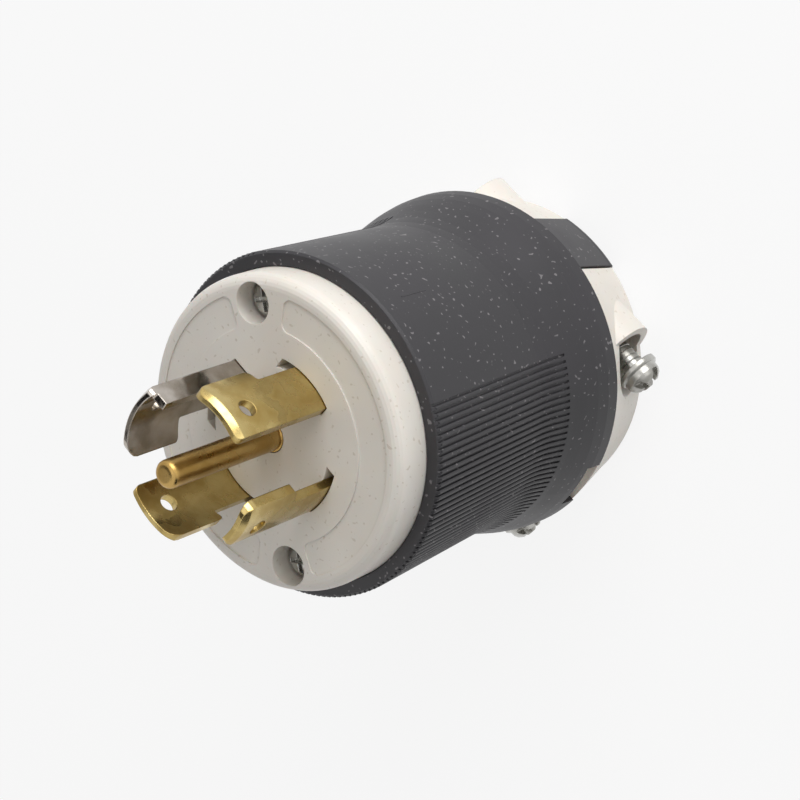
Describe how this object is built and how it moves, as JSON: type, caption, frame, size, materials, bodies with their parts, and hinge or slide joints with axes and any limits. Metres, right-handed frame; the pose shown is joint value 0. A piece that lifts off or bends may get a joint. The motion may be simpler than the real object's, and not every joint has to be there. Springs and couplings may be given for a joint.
{
  "type": "locking power plug",
  "caption": "Round locking power plug with hooked arc blades round a centre pin, a white moulded face, a ribbed black flared shell and a screwed two-jaw cord clamp.",
  "frame": {"origin": "on the plug's axis at the rear face, in the mouth of the cord clamp", "axes": "+Z along the plug's axis from the cord end towards the blades, +X towards the heads of the cord clamp screws, +Y through one of the shell's rear tabs"},
  "size_m": [0.0634, 0.0638, 0.0953],
  "materials": {
    "black_nylon": "moulded, fine satin",
    "white_nylon": "moulded, soft satin",
    "brass_sheet": "rolled, lightly tumbled",
    "nickel_sheet": "nickel plated",
    "zinc_steel": "zinc plated",
    "green_zinc": "green zinc plated"
  },
  "bodies": {
    "root": {"shell": "black_nylon", "face_insulator": "white_nylon", "terminal_carrier": "white_nylon", "ground_pin": "brass_sheet", "ground_strap": "brass_sheet", "neutral_contact": "nickel_sheet", "line_contact_1": "brass_sheet", "line_contact_2": "brass_sheet", "line_contact_3": "brass_sheet", "neutral_clamp_plate": "zinc_steel", "ground_clamp_plate": "zinc_steel", "line_clamp_plate_1": "zinc_steel", "line_clamp_plate_2": "zinc_steel", "line_clamp_plate_3": "zinc_steel", "line_terminal_screws": "brass_sheet", "neutral_terminal_screw": "zinc_steel", "ground_terminal_screw": "green_zinc", "assembly_screws": "zinc_steel", "threaded_inserts": "brass_sheet", "clamp_jaw_screw_side": "white_nylon", "clamp_jaw_nut_side": "white_nylon", "cord_clamp_screws": "zinc_steel", "cord_clamp_nuts": "zinc_steel"}
  },
  "joints": []
}
